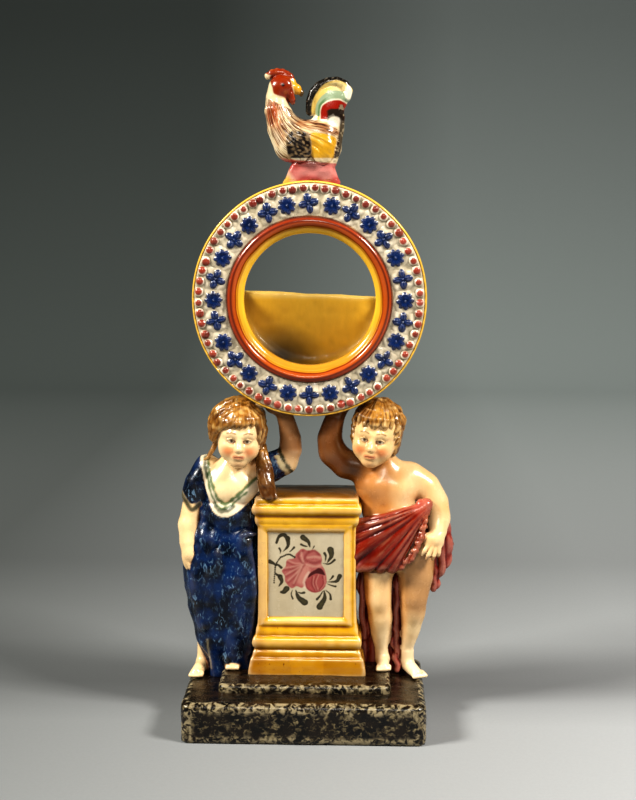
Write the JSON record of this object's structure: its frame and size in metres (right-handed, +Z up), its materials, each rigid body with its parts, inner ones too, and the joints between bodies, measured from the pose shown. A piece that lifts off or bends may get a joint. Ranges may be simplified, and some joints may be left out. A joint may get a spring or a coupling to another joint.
{
  "type": "watch stand figure",
  "caption": "Glazed earthenware watch stand: a girl and a boy beside a pedestal hold up a round watch holder with a cockerel on top.",
  "frame": {"origin": "middle of the plinth's flat underside, where the stand touches the shelf", "axes": "+Z up, +X to the viewer's right, +Y away from the viewer, so the dial and the figures face -Y"},
  "size_m": [0.1077, 0.056, 0.2503],
  "materials": {
    "glazed_earthenware": "gloss"
  },
  "bodies": {
    "root": {"watch_stand": "glazed_earthenware"}
  },
  "joints": []
}
